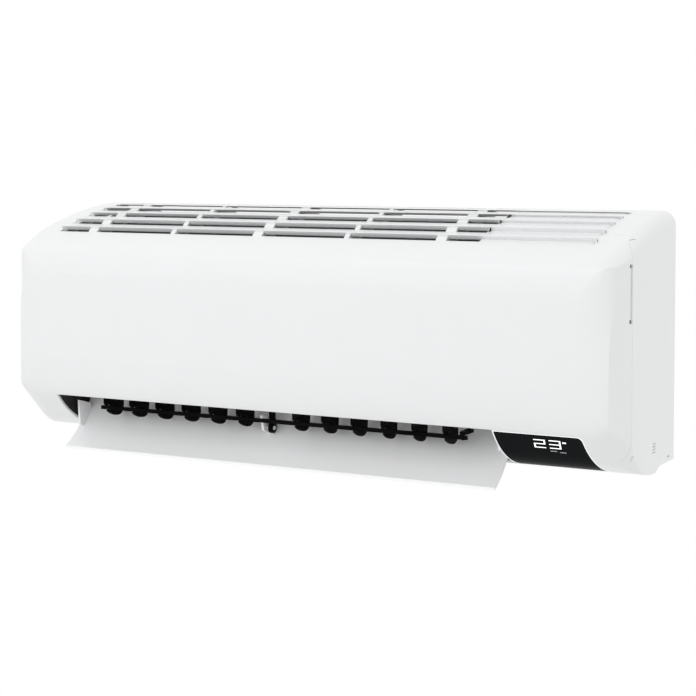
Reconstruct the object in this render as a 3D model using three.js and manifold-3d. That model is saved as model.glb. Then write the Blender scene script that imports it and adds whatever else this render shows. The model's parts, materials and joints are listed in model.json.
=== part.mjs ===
// Wall-hung mini split indoor unit, 820 x 215 x 299 mm.
// Built in millimetres with Y = 0 on the wall, -Y towards the room and Z = 0
// at the lowest point; the last group lowers it so that the origin lies at the
// middle of the wall face.
import * as THREE from 'three';
import { mergeVertices } from 'three/addons/utils/BufferGeometryUtils.js';
import Module from 'manifold-3d';

const wasm = await Module();
wasm.setup();

// ---- Driving sizes -------------------------------------------------------
const WIDTH = 820;
const DEPTH = 215;
const HEIGHT = 299;
const WALL = 2.5;            // moulded casing wall
const SEAM = 0.5;            // gap between two mouldings
const FIT = 0.3;             // clearance where pieces seat on each other
const BORE_FIT = 0.4;        // clearance of a turning pin
const TOP_FALL = 33.5;       // how far the top drops by the panel seam
const TOP_POWER = 1.67;
const SEAM_DEPTH = 163.4;    // side seam between panel and housing
const SEAM_RADIUS = 26;      // the seam's curl over the top corner
const SEAM_CURL = 245.3;     // height at which the curl starts
const PANEL_REAR = 134.4;    // depth of the panel's rear edge on top
const CORNER_RADIUS = 17;    // rounding between top and sides
const BEVEL_WIDTH = 12.5;    // slanted front corner, seen from above
const BEVEL_DEPTH = 43;
const RISER_DEPTH = 57;      // behind it the underside steps up
const RISER = 4.5;

const OUTLET_LEFT = -342;
const OUTLET_RIGHT = 260;
const OUTLET_LIP = 57;       // height of the panel's lower edge
const OUTLET_REAR = 116.5;   // depth at which the outlet ends behind
const DISPLAY_TOP_RIGHT = 362;
const DISPLAY_FLARE = 8;     // the display widens towards its lower edge
const DISPLAY_THICK = 2.6;

const GRILLE_LEFT = -366.3;
const GRILLE_OPEN_RIGHT = 227.5;
const GRILLE_RIGHT = 365.6;
const ROWS = 6;
const ROW_FIRST = 162.7;     // depth of the front edge of slot 1
const ROW_LAST = 12;         // and of slot 6
const SLOT = 5;              // open width of a slot
const SLAT_DROP = 3;         // each slat's rear edge lies below the top curve
const SLAT = 2;
const LIP = 4;               // hanging front lip of a slat
const RIB_FIRST = -314.2;
const RIB_PITCH = 123.4;
const RIBS = 5;
const RIB_WIDE = 13;
const RIB_NARROW = 6.3;
const RIB_DEPTH = 8;
const MESH = 1;

const FLAP_PIVOT = [-153, 29];
const FLAP_OPEN = 79;        // degrees from closed, as it stands
const FLAP_THICK = 2.6;
const FLAP_GAP = 1;
const LUG = 3;
const FLAP_LUG = [[-139, 46], [-141, 20], [-150, 17.5], [-172, 30], [-174, 37]];
const CENTRE_LUG_X = -61;
const HANGER_X = -54;
const HANGER = 5;
const RING = 6.6;
const PIN = 2.5;

const VANES_PER_BANK = 6;
const VANE_PITCH = 39.6;
const VANE_CENTRE = -45;
const VANE_PIVOT_DEPTH = 158;
const VANE_THICK = 1.6;
const VANE_TOP = 62;
const VANE_FRONT = 184;
const VANE_REAR = 141;
const VANE_TIP = 29.5;
const VANE_PIN = 2;
const BAR_DEPTH = 176;
const BAR_Z = 41;
const BAR = 4.5;
const BAR_PIN = 1.1;
const BAR_SLOT = 4.5;        // notch behind the bar's centre line
const RAIL = 4.6;
const CEILING = 67.5;        // underside of the duct's upper wall
const VANE_MOTOR_RADIUS = 11;
const VANE_MOTOR_LOW = 56;
const RAIL_WIDTH = 15;

const FAN_CENTRE = [-98, 118];
const FAN_RADIUS = 49;
const FAN_LEFT = -332;
const FAN_RIGHT = 246;
const FAN_BLADES = 25;
const FAN_DISCS = 4;
const DISC = 2;
const BLADE_DEPTH = 13;
const BLADE_THICK = 1.6;
const BLADE_SWEEP = 24;      // degrees a blade leans over its depth
const SHAFT = 4;
const MOTOR_RADIUS = 41;
const MOTOR_LENGTH = 66;

const DUCT_WALL = 3;
const SCROLL_START = 62;     // degrees, 0 at the wall side
const SCROLL_END = -50;
const SCROLL_GAP = 7;
const SCROLL_GROWTH = 9;
const FLOOR_TIP = [-107, 10.5];
const BACK_GAP = 0.5;        // between mounting plate and chassis
const PLATE = 1.5;

const SLAB = 25;             // heat exchanger thickness
const FIN_GROOVE = 3;
const FIN_GROOVES = 26;
const END_PLATE = 1.2;
const TUBE = 3.5;            // radius of the copper hairpins
const TUBE_PITCH = 21;

// ---- Solids --------------------------------------------------------------
const WHITE = 0xf1f2f2;
const BLACK = 0x0e0e10;

function toSolid(geometry) {
  const bare = geometry.clone();
  bare.deleteAttribute('normal');
  bare.deleteAttribute('uv');
  const merged = mergeVertices(bare, 1e-4);
  return new wasm.Manifold(new wasm.Mesh({
    numProp: 3,
    vertProperties: new Float32Array(merged.attributes.position.array),
    triVerts: new Uint32Array(merged.index.array),
  }));
}

function toGeometry(solid) {
  const mesh = solid.getMesh();
  const geometry = new THREE.BufferGeometry();
  geometry.setAttribute('position', new THREE.BufferAttribute(mesh.vertProperties, 3));
  geometry.setIndex(new THREE.BufferAttribute(mesh.triVerts, 1));
  geometry.computeVertexNormals();
  return geometry;
}

function shapeOf(points) {
  return new THREE.Shape(points.map(([u, v]) => new THREE.Vector2(u, v)));
}

// Extrudes an outline and lays its axes: 'x' takes (y, z) points, 'y' takes
// (x, z) points and 'z' takes (x, y) points.
function prism(axis, outline, from, to) {
  const shape = outline instanceof THREE.Shape ? outline : shapeOf(outline);
  const geometry = new THREE.ExtrudeGeometry(shape, {
    depth: to - from, bevelEnabled: false, curveSegments: 4,
  });
  const X = new THREE.Vector3(1, 0, 0);
  const Y = new THREE.Vector3(0, 1, 0);
  const Z = new THREE.Vector3(0, 0, 1);
  const turn = new THREE.Matrix4();
  if (axis === 'x') turn.makeBasis(Y, Z, X).setPosition(from, 0, 0);
  if (axis === 'y') turn.makeBasis(X, Z, Y.clone().negate()).setPosition(0, to, 0);
  if (axis === 'z') turn.setPosition(0, 0, from);
  geometry.applyMatrix4(turn);
  return toSolid(geometry);
}

function box(x0, x1, y0, y1, z0, z1) {
  return prism('z', [[x0, y0], [x1, y0], [x1, y1], [x0, y1]], z0, z1);
}

function disc(u, v, radius, sides) {
  const points = [];
  for (let i = 0; i < sides; i++) {
    const a = (i + 0.5) / sides * 2 * Math.PI;
    points.push([u + radius * Math.cos(a), v + radius * Math.sin(a)]);
  }
  return points;
}

function rod(axis, u, v, radius, from, to, sides = 12) {
  return prism(axis, disc(u, v, radius, sides), from, to);
}

// A round tube along a list of points, bends rounded by the curve.
function tube(points, radius, steps, sides = 8) {
  const path = new THREE.CatmullRomCurve3(
    points.map((p) => new THREE.Vector3(...p)), false, 'centripetal');
  const section = shapeOf(disc(0, 0, radius, sides));
  return toSolid(new THREE.ExtrudeGeometry(section, { steps, extrudePath: path }));
}

function union(solids) {
  return solids.reduce((whole, solid) => whole.add(solid));
}

function part(name, solid, colour, roughness = 0.5, metalness = 0) {
  const material = new THREE.MeshStandardMaterial({ color: colour, roughness, metalness });
  const mesh = new THREE.Mesh(toGeometry(solid), material);
  mesh.name = name;
  return mesh;
}

// ---- Casing outline ------------------------------------------------------
function topHeight(y) {
  return HEIGHT - TOP_FALL * Math.pow(Math.abs(y) / SEAM_DEPTH, TOP_POWER);
}

// Measured profile as (depth, height), from the heel to the top of the front.
const FRONT_PROFILE = [[73, 0], [94, 1.6], [116, 5.6], [143, 12.8], [160, 20.6], [172, 28.4],
  [184, 37.4], [195, 47.6], [203, 57.5], [208, 68], [211.5, 84], [214, 110], [DEPTH, 140],
  [DEPTH, 190], [213.5, 225], [211, 238], [205, 247.5], [196, 253.3]];
const TOP_DEPTHS = [180, 165, 148, 133, 118, 103, 88, 73, 58, 43, 28, 14];
function casingOutline() {
  const rear = [[0, RISER], [-RISER_DEPTH, RISER + 1]];
  const front = FRONT_PROFILE.map(([depth, height]) => [-depth, height]);
  const top = TOP_DEPTHS.map((depth) => [-depth, topHeight(depth)]);
  return [...rear, ...front, ...top, [0, HEIGHT]];
}

function inset(points, distance) {
  const count = points.length;
  const lines = points.map((p, i) => {
    const q = points[(i + 1) % count];
    const length = Math.hypot(q[0] - p[0], q[1] - p[1]);
    const normal = [(q[1] - p[1]) / length, -(q[0] - p[0]) / length];
    return { at: [p[0] + normal[0] * distance, p[1] + normal[1] * distance],
      along: [q[0] - p[0], q[1] - p[1]] };
  });
  return lines.map((b, i) => {
    const a = lines[(i + count - 1) % count];
    const cross = a.along[0] * b.along[1] - a.along[1] * b.along[0];
    const gap = [b.at[0] - a.at[0], b.at[1] - a.at[1]];
    const t = (gap[0] * b.along[1] - gap[1] * b.along[0]) / cross;
    return [a.at[0] + a.along[0] * t, a.at[1] + a.along[1] * t];
  });
}

// Rings of the same outline at several x, joined into one closed skin.
function loft(rings) {
  const count = rings[0].points.length;
  const positions = rings.flatMap((ring) => ring.points.flatMap(([y, z]) => [ring.x, y, z]));
  const faces = [];
  for (let r = 0; r < rings.length - 1; r++) {
    for (let i = 0; i < count; i++) {
      const a = r * count + i;
      const b = r * count + (i + 1) % count;
      faces.push(a, a + count, b, b, a + count, b + count);
    }
  }
  const cap = THREE.ShapeUtils.triangulateShape(
    rings[0].points.map(([u, v]) => new THREE.Vector2(u, v)), []);
  const last = (rings.length - 1) * count;
  for (const [a, b, c] of cap) {
    const [p, q, r] = [a, b, c].map((i) => rings[0].points[i]);
    const turn = (q[0] - p[0]) * (r[1] - p[1]) - (q[1] - p[1]) * (r[0] - p[0]);
    const [u, v] = turn < 0 ? [b, c] : [c, b];
    faces.push(a, u, v, last + a, last + v, last + u);
  }
  const geometry = new THREE.BufferGeometry();
  geometry.setAttribute('position', new THREE.Float32BufferAttribute(positions, 3));
  geometry.setIndex(faces);
  return toSolid(geometry);
}

// The casing's whole volume, shrunk by `skin` on every side. Its back stays
// open when it serves as the hollow of the shell.
function casingVolume(skin) {
  const outline = skin === 0 ? casingOutline() : inset(casingOutline(), skin);
  if (skin > 0) {
    const rear = outline.filter(([y]) => y > -skin - 0.01);
    for (const point of rear) point[0] = 5;
  }
  const half = WIDTH / 2 - skin;
  const radius = CORNER_RADIUS - skin;
  const steps = [0, 0.12, 0.4, 1];
  const rings = [];
  for (const side of [-1, 1]) {
    const ends = steps.map((s) => {
      const drop = radius * (1 - Math.sqrt(1 - (1 - s) ** 2));
      const lower = ([y, z]) => [y, z - drop * THREE.MathUtils.smoothstep(z, 120, 245)];
      return { x: side * (half - s * radius), points: outline.map(lower) };
    });
    rings.push(...(side < 0 ? ends : ends.reverse()));
  }
  return loft(rings).intersect(prism('z', planOutline(skin), -20, HEIGHT + 20));
}

function planOutline(skin) {
  const half = WIDTH / 2 - skin;
  const front = -DEPTH + skin;
  const plan = new THREE.Shape();
  plan.moveTo(-half, 10);
  plan.lineTo(-half, -SEAM_DEPTH);
  plan.lineTo(-half + BEVEL_WIDTH * 0.8, front + BEVEL_DEPTH * 0.35);
  plan.quadraticCurveTo(-half + BEVEL_WIDTH, front + 4, -half + BEVEL_WIDTH * 2, front);
  plan.lineTo(-half + BEVEL_WIDTH * 2.5, front - 5);
  plan.lineTo(half - BEVEL_WIDTH * 2.5, front - 5);
  plan.lineTo(half - BEVEL_WIDTH * 2, front);
  plan.quadraticCurveTo(half - BEVEL_WIDTH, front + 4,
    half - BEVEL_WIDTH * 0.8, front + BEVEL_DEPTH * 0.35);
  plan.lineTo(half, -SEAM_DEPTH);
  plan.lineTo(half, 10);
  plan.closePath();
  return plan;
}

// Everything in front of the seam, moved back by `gap` for the housing's cut.
function frontRegion(gap) {
  const centre = [-SEAM_DEPTH + SEAM_RADIUS, SEAM_CURL];
  const radius = SEAM_RADIUS - gap;
  const points = [[-DEPTH - 20, -20], [-SEAM_DEPTH + gap, -20]];
  for (let i = 0; i <= 5; i++) {
    const a = Math.PI - i / 5 * Math.PI / 2;
    points.push([centre[0] + radius * Math.cos(a), centre[1] + radius * Math.sin(a)]);
  }
  points.push([-PANEL_REAR + gap, centre[1] + radius]);
  points.push([-PANEL_REAR + gap, HEIGHT + 20], [-DEPTH - 20, HEIGHT + 20]);
  const inner = WIDTH / 2 - CORNER_RADIUS - 3 + gap;
  return prism('x', points, -WIDTH, WIDTH)
    .add(box(-inner, inner, -DEPTH - 20, -PANEL_REAR + gap, SEAM_CURL - 5, HEIGHT + 20));
}

// The part of the underside that the outlet and the display take up.
function outletRegion(grow, rear = OUTLET_REAR) {
  const left = OUTLET_LEFT - grow;
  const top = DISPLAY_TOP_RIGHT + grow;
  const bottom = top + DISPLAY_FLARE;
  const plan = [[left, -DEPTH - 20], [top, -DEPTH - 20], [top, -200], [bottom, -rear - 30],
    [bottom, -rear + grow], [left, -rear + grow]];
  const below = OUTLET_LIP + grow;
  return prism('z', plan, -20, below);
}

// ---- Louvred top ---------------------------------------------------------
function rowDepth(k) {
  return ROW_FIRST - k * (ROW_FIRST - ROW_LAST) / (ROWS - 1);
}

// Slat k fills the space from slot k to slot k + 1, its rear edge lowered.
function slatSection(k) {
  const front = -rowDepth(k) + SLOT;
  const rear = -rowDepth(k + 1);
  const high = topHeight(front);
  const low = topHeight(rear) - SLAT_DROP;
  return [[front, high], [front, high - LIP - SLAT], [front + SLAT, high - LIP - SLAT],
    [front + SLAT, high - SLAT - 0.3], [rear, low - SLAT], [rear, low]];
}

function ribPositions() {
  return Array.from({ length: RIBS }, (_, i) => ({
    x: RIB_FIRST + i * RIB_PITCH, width: i % 2 === 0 ? RIB_WIDE : RIB_NARROW,
  }));
}

// The band just under the slats that ribs and rails follow.
function ribSection(fromDepth, toDepth, sink = SLAT_DROP + 0.4, tall = RIB_DEPTH) {
  const upper = [];
  const lower = [];
  for (let i = 0; i <= 5; i++) {
    const depth = fromDepth + (toDepth - fromDepth) * i / 5;
    upper.push([-depth, topHeight(depth) - sink]);
    lower.unshift([-depth, topHeight(depth) - sink - tall]);
  }
  return [...upper, ...lower];
}

const FRAME_FRONT = rowDepth(1) - SLOT;   // cartridge: slats 1 to 4
const FRAME_REAR = rowDepth(ROWS - 1) + 1;
function filterFrame() {
  const left = GRILLE_LEFT + FIT;
  const right = GRILLE_OPEN_RIGHT - FIT;
  const pieces = [];
  for (let k = 1; k < ROWS - 1; k++) pieces.push(prism('x', slatSection(k), left, right));
  const band = ribSection(FRAME_FRONT, FRAME_REAR);
  for (const { x, width } of ribPositions()) {
    pieces.push(prism('x', band, x - width / 2, x + width / 2));
  }
  pieces.push(prism('x', band, left, left + 4), prism('x', band, right - 4, right));
  return union(pieces);
}

function filterMesh() {
  const sink = SLAT_DROP + 0.4 + RIB_DEPTH + FIT;
  return prism('x', ribSection(FRAME_FRONT, FRAME_REAR, sink, MESH),
    GRILLE_LEFT + 2, GRILLE_OPEN_RIGHT - 2);
}

// Closed stretch beside the open slots: the same steps, only shallow.
function grooveCut(k, from, to) {
  const front = -rowDepth(k) + SLOT;
  const rear = -rowDepth(k + 1);
  const low = topHeight(rear) - SLAT_DROP * 0.6;
  return prism('x', [[front, topHeight(front)], [rear, low],
    [rear + SLOT * 0.5, low], [rear + SLOT * 0.5, HEIGHT + 8], [front, HEIGHT + 8]], from, to);
}

// ---- Casing --------------------------------------------------------------
const outer = casingVolume(0);
const shell = outer.subtract(casingVolume(WALL));

function frontPanel() {
  let panel = shell.intersect(frontRegion(0)).subtract(outletRegion(SEAM));
  const slot = rowDepth(0);
  panel = panel.subtract(box(GRILLE_LEFT, GRILLE_OPEN_RIGHT, -slot, -slot + SLOT,
    HEIGHT - TOP_FALL - 20, HEIGHT));
  const ribs = ribPositions().map(({ x, width }) => prism('x',
    ribSection(slot + 4, rowDepth(1) + 1, 1), x - width / 2, x + width / 2));
  return union([panel, ...ribs]);
}

function mainHousing() {
  let housing = shell.subtract(frontRegion(SEAM)).subtract(outletRegion(SEAM));
  const seamTop = rowDepth(1) + 2;
  housing = housing.subtract(box(GRILLE_LEFT, GRILLE_OPEN_RIGHT, -seamTop, -rowDepth(ROWS - 1) + SLOT,
    HEIGHT - TOP_FALL - 20, HEIGHT + 5));
  for (let k = 1; k < ROWS - 1; k++) {
    housing = housing.subtract(grooveCut(k, GRILLE_OPEN_RIGHT + 4, GRILLE_RIGHT));
  }
  return housing.subtract(sensorSlots());
}

const SENSOR = { depth: 79, z: 24, pitch: 3.3, count: 4, length: 12, height: 1.2 };
function sensorSlots() {
  const slots = [];
  for (let i = 0; i < SENSOR.count; i++) {
    const z = SENSOR.z + i * SENSOR.pitch;
    slots.push(box(WIDTH / 2 - WALL - 2, WIDTH / 2 + 2, -SENSOR.depth - SENSOR.length / 2,
      -SENSOR.depth + SENSOR.length / 2, z, z + SENSOR.height));
  }
  return union(slots);
}

function displayCover() {
  const skin = outer.subtract(casingVolume(DISPLAY_THICK));
  const zone = outletRegion(0).intersect(box(OUTLET_RIGHT + SEAM, WIDTH, -DEPTH, -OUTLET_REAR, -20, OUTLET_LIP));
  return skin.intersect(zone);
}

// ---- Chassis and duct ----------------------------------------------------
function scrollPoint(angle, extra) {
  const a = THREE.MathUtils.degToRad(angle);
  const share = (SCROLL_START - angle) / (SCROLL_START - SCROLL_END);
  const radius = FAN_RADIUS + SCROLL_GAP + SCROLL_GROWTH * share + extra;
  return [FAN_CENTRE[0] + radius * Math.cos(a), FAN_CENTRE[1] + radius * Math.sin(a)];
}

function scrollBand() {
  const inner = [];
  const back = [];
  for (let i = 0; i <= 8; i++) {
    const angle = SCROLL_START + (SCROLL_END - SCROLL_START) * i / 8;
    inner.push(scrollPoint(angle, 0));
    back.unshift(scrollPoint(angle, DUCT_WALL));
  }
  inner.push(FLOOR_TIP);
  back.unshift([FLOOR_TIP[0] + 3, FLOOR_TIP[1] - DUCT_WALL]);
  return [...inner, ...back];
}

const DUCT_END = 3;
const BACK = -PLATE - BACK_GAP;
const BACK_TOP = HEIGHT - 30;
const BACK_LOW = 70;
function rearChassis() {
  const left = OUTLET_LEFT - DUCT_END;
  const right = OUTLET_RIGHT + DUCT_END;
  const side = WIDTH / 2 - WALL - FIT;
  const wall = box(-side, side, BACK - DUCT_WALL, BACK, BACK_LOW, BACK_TOP);
  const scroll = prism('x', scrollBand(), left, right);
  const bridge = prism('x', [[BACK, 112], [BACK, 124], [-38, 124], [-38, 112]], left, right);
  const end = [[BACK, BACK_LOW], [BACK, 168], [-44, 168], [-50.3, 178.6], [-102.8, 239.1],
    [-174.9, 167], [-177.2, 166], [-177.2, 79.7], [-DEPTH, 79.7], [-DEPTH, -5], [-112, -5], FLOOR_TIP,
    [-104, 7], [-60, 62]];
  const ends = prism('x', end, left, OUTLET_LEFT).add(prism('x', end, OUTLET_RIGHT, right))
    .intersect(casingVolume(DISPLAY_THICK + FIT));
  const chassis = union([wall, scroll, bridge, ends]);
  const hub = rod('x', ...FAN_CENTRE, BEARING_RADIUS + FIT, left - 5, OUTLET_LEFT + 5, 16);
  const motor = rod('x', ...FAN_CENTRE, SHAFT + 4, OUTLET_RIGHT - 5, right + 5, 16);
  const pins = rod('x', ...FLAP_PIVOT, PIN + BORE_FIT, left - 5, right + 5);
  return chassis.subtract(hub).subtract(motor).subtract(pins);
}

const BEARING_RADIUS = 12;
function fanBearing() {
  const bush = rod('x', ...FAN_CENTRE, BEARING_RADIUS, OUTLET_LEFT - DUCT_END - 2, OUTLET_LEFT + 2, 16);
  return bush.subtract(rod('x', ...FAN_CENTRE, SHAFT + FIT, OUTLET_LEFT - 20, OUTLET_LEFT + 20));
}

const HOOK_WIDTH = 30;
function mountingPlate() {
  const pieces = [prism('y', [[-300, 45], [300, 45], [300, 262], [-300, 262]], -PLATE, 0)];
  const top = BACK_TOP + FIT + PLATE;
  const front = BACK - DUCT_WALL - FIT;
  for (const x of [-220, -HOOK_WIDTH / 2, 220 - HOOK_WIDTH]) {
    pieces.push(prism('x', [[0, 255], [0, top], [front - PLATE, top], [front - PLATE, top - 8],
      [front, top - 8], [front, top - PLATE], [-PLATE, top - PLATE], [-PLATE, 255]],
    x, x + HOOK_WIDTH));
  }
  return union(pieces);
}

function drainPan() {
  const section = [[-200, CEILING], [-149, CEILING], [-143, 88], [-145.5, 90], [-153, 79],
    [-170, CEILING + 5], [-203, CEILING + 5], [-203, 90], [-204.6, 90], [-204.6, CEILING + 6]];
  return prism('x', section, OUTLET_LEFT + FIT, OUTLET_RIGHT - FIT);
}

// ---- Fan -----------------------------------------------------------------
function bladeSection(angle) {
  const points = [];
  for (const side of [0, 1]) {
    for (let i = 0; i <= 2; i++) {
      const t = side ? 1 - i / 2 : i / 2;
      const radius = FAN_RADIUS - BLADE_DEPTH * t;
      const lean = BLADE_SWEEP * (t + 0.35 * Math.sin(Math.PI * t));
      const a = angle + THREE.MathUtils.degToRad(lean) + (side ? BLADE_THICK / radius : 0);
      points.push([FAN_CENTRE[0] + radius * Math.cos(a), FAN_CENTRE[1] + radius * Math.sin(a)]);
    }
  }
  return points;
}

function fanRotor() {
  const pieces = [];
  for (let i = 0; i < FAN_DISCS; i++) {
    const x = FAN_LEFT + (FAN_RIGHT - FAN_LEFT - DISC) * i / (FAN_DISCS - 1);
    const plate = prism('x', disc(...FAN_CENTRE, FAN_RADIUS - 1, FAN_BLADES), x, x + DISC);
    const bore = i === 0 || i === FAN_DISCS - 1 ? SHAFT + FIT : FAN_RADIUS - BLADE_DEPTH - 2;
    pieces.push(plate.subtract(rod('x', ...FAN_CENTRE, bore, x - 1, x + DISC + 1)));
  }
  for (let i = 0; i < FAN_BLADES; i++) {
    pieces.push(prism('x', bladeSection(i / FAN_BLADES * 2 * Math.PI), FAN_LEFT + 0.5, FAN_RIGHT - 0.5));
  }
  return union(pieces);
}

function fanShaft() {
  return rod('x', ...FAN_CENTRE, SHAFT, OUTLET_LEFT - DUCT_END, OUTLET_RIGHT + DUCT_END + 5);
}

function fanMotor() {
  const start = OUTLET_RIGHT + DUCT_END + 5 + FIT;
  const body = rod('x', ...FAN_CENTRE, MOTOR_RADIUS, start + 8, start + MOTOR_LENGTH, 24);
  const boss = rod('x', ...FAN_CENTRE, MOTOR_RADIUS * 0.5, start, start + 8, 24);
  const rim = rod('x', ...FAN_CENTRE, MOTOR_RADIUS + 3, start + 30, start + 36, 24);
  return union([body, boss, rim]);
}

function motorBracket() {
  const start = OUTLET_RIGHT + DUCT_END + FIT;
  const inner = MOTOR_RADIUS + 3 + FIT;
  const band = rod('x', ...FAN_CENTRE, inner + 3, start, start + 44, 24)
    .subtract(rod('x', ...FAN_CENTRE, inner, start - 1, start + 45, 24));
  const flange = rod('x', ...FAN_CENTRE, inner + 3, start, start + 2, 24)
    .subtract(rod('x', ...FAN_CENTRE, MOTOR_RADIUS * 0.5 + 3, start - 1, start + 3, 24));
  return band.add(flange);
}

// ---- Heat exchanger ------------------------------------------------------
const SLABS = {
  evaporator_front: { from: [-190, 80], to: [-190, 168] },
  evaporator_top: { from: [-184, 176], to: [-112, 248] },
  evaporator_rear: { from: [-92.6, 247.4], to: [-38, 184] },
};

function slabFrame({ from, to }) {
  const length = Math.hypot(to[0] - from[0], to[1] - from[1]);
  const along = [(to[0] - from[0]) / length, (to[1] - from[1]) / length];
  const across = [along[1], -along[0]];
  const at = (s, t) => [from[0] + along[0] * s + across[0] * t, from[1] + along[1] * s + across[1] * t];
  return { length, at };
}

const COIL_LEFT = OUTLET_LEFT - DUCT_END - FIT;
const COIL_RIGHT = OUTLET_RIGHT + DUCT_END + FIT;
function slab(spec) {
  const { length, at } = slabFrame(spec);
  const half = SLAB / 2;
  const body = prism('x', [at(0, half), at(length, half), at(length, -half), at(0, -half)],
    COIL_LEFT, COIL_RIGHT);
  const pitch = (COIL_RIGHT - COIL_LEFT) / FIN_GROOVES;
  const grooves = [];
  for (let i = 0; i < FIN_GROOVES; i++) {
    const x = COIL_LEFT + (i + 0.5) * pitch;
    grooves.push(prism('x', [at(-1, FIN_GROOVE - half), at(length + 1, FIN_GROOVE - half),
      at(length + 1, -half - 1), at(-1, -half - 1)], x - pitch * 0.2, x + pitch * 0.2));
  }
  return body.subtract(union(grooves));
}

// End plate on one side of the coil, with the hairpins brazed through it.
function coilEnd(side) {
  const base = side < 0 ? COIL_LEFT - FIT : COIL_RIGHT + FIT;
  const far = base + side * END_PLATE;
  const pieces = [];
  for (const spec of Object.values(SLABS)) {
    const { length, at } = slabFrame(spec);
    const half = SLAB / 2;
    pieces.push(prism('x', [at(-3, half + 8), at(length + 3, half + 8),
      at(length + 3, -half - 1), at(-3, -half - 1)], Math.min(base, far), Math.max(base, far)));
    const bends = side < 0 ? 2 : 1;
    const first = (length - (bends * 2 - 1) * TUBE_PITCH) / 2;
    for (let i = 0; i < bends; i++) {
      const a = at(first + i * 2 * TUBE_PITCH, 0);
      const b = at(first + (i * 2 + 1) * TUBE_PITCH, 0);
      const middle = [(a[0] + b[0]) / 2, (a[1] + b[1]) / 2];
      const root = base + side * END_PLATE * 0.5;
      const reach = TUBE_PITCH * 0.5;
      pieces.push(tube([[root, ...a], [root + side * reach, ...a],
        [root + side * reach * 1.9, ...middle], [root + side * reach, ...b], [root, ...b]],
      TUBE, 6, 6));
    }
  }
  return union(pieces);
}

// ---- Refrigerant pipes ---------------------------------------------------
const GAS = { radius: 4.8, z: 38, end: 60, nut: 11, start: [-47, 194], reach: 26 };
const LIQUID = { radius: 3.2, z: 20, end: 84, nut: 8.5, start: [-84, 238], reach: 40 };
const PIPE_DEPTH = 30;
function pipe({ radius, z, end, start, reach }) {
  const x = COIL_RIGHT + FIT + END_PLATE + FIT;
  const [y, top] = start;
  return tube([[x, y, top], [x + reach - 12, y, top], [x + reach, y + 4, top - 12],
    [x + reach, -PIPE_DEPTH - 2, 96], [x + reach, -PIPE_DEPTH, z + 18],
    [x + reach - 18, -PIPE_DEPTH, z], [end, -PIPE_DEPTH, z]], radius, 20, 8);
}

function flareNut({ radius, z, end, nut }) {
  const body = rod('x', -PIPE_DEPTH, z, nut, end - 18, end + 4, 6);
  return body.subtract(rod('x', -PIPE_DEPTH, z, radius * 1.08 + FIT, end - FIT, end + 6, 8));
}

// ---- Electrical box ------------------------------------------------------
const BOX = { x0: 346, x1: 398, front: 122, low: 92, high: 232, wall: 1.2 };
function controlBox() {
  const rear = BACK - DUCT_WALL - FIT;
  const body = box(BOX.x0, BOX.x1, -BOX.front, rear, BOX.low, BOX.high);
  const w = BOX.wall;
  return body.subtract(box(BOX.x0 + w, BOX.x1 + 1, -BOX.front + w, rear - w, BOX.low + w, BOX.high - w));
}

function controlLid() {
  const rear = BACK - DUCT_WALL - FIT;
  return box(BOX.x1 + FIT, BOX.x1 + FIT + BOX.wall, -BOX.front, rear, BOX.low, BOX.high);
}

function controlBoard() {
  const x = BOX.x0 + BOX.wall + FIT;
  const board = box(x + 6, x + 7.6, -BOX.front + 8, -18, BOX.low + 8, BOX.high - 8);
  const feet = [[-110, 108], [-26, 108], [-110, 216], [-26, 216]]
    .map(([y, z]) => rod('x', y, z, 3, x, x + 7, 8));
  const capacitor = rod('x', -92, 190, 11, x + 7, x + 36, 14);
  const relay = box(x + 7, x + 24, -60, -34, 150, 178);
  const transformer = box(x + 7, x + 32, -96, -58, 112, 142);
  return union([board, ...feet, capacitor, relay, transformer]);
}

function terminalBlock() {
  const front = -BOX.front - FIT;
  let block = box(BOX.x0 + 4, BOX.x1 - 4, front - 16, front, 104, 128);
  for (let i = 0; i < 4; i++) {
    const x = BOX.x0 + 9 + i * 10;
    block = block.subtract(box(x, x + 6, front - 20, front - 7, 101, 116));
    block = block.subtract(rod('y', x + 3, 122, 2.6, front - 20, front - 10, 8));
  }
  return block;
}

// ---- Small electrics -----------------------------------------------------
function flapMotor() {
  const x = OUTLET_RIGHT + DUCT_END + FIT;
  const [y, z] = FLAP_PIVOT;
  const can = rod('x', y, z, 7.2, x, x + 16, 18);
  const gearbox = box(x, x + 10, y - 7, y + 7, z, z + 24);
  return can.add(gearbox);
}

function vaneMotor() {
  const can = rod('z', CRANK_X, -VANE_PIVOT_DEPTH, VANE_MOTOR_RADIUS, VANE_MOTOR_LOW, CEILING - FIT, 18);
  return can.subtract(rod('z', CRANK_X, -VANE_PIVOT_DEPTH, CRANK_POST + 0.35,
    VANE_MOTOR_LOW - 1, VANE_MOTOR_LOW + 6, 10));
}

function displayBoard() {
  const near = DISPLAY_THICK + FIT;
  return casingVolume(near).subtract(casingVolume(near + 1.6))
    .intersect(box(290, 350, -190, -150, -20, 80));
}

function roomSensor() {
  const wall = WIDTH / 2 - WALL - FIT;
  const clip = box(wall - 3, wall, -SENSOR.depth - 9, -SENSOR.depth + 9, SENSOR.z + 14, SENSOR.z + 22);
  const bead = rod('z', wall - 2, -SENSOR.depth, 1.9, SENSOR.z, SENSOR.z + 16, 10);
  return clip.add(bead);
}

function flapHanger() {
  const [y, z] = FLAP_PIVOT;
  const x = HANGER_X;
  const post = box(x, x + HANGER, y - 4, y + 4, z + 3, CEILING - FIT);
  const ring = rod('x', y, z, RING, x, x + HANGER, 16);
  return post.add(ring).subtract(rod('x', y, z, PIN + BORE_FIT, x - 1, x + HANGER + 1));
}

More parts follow.
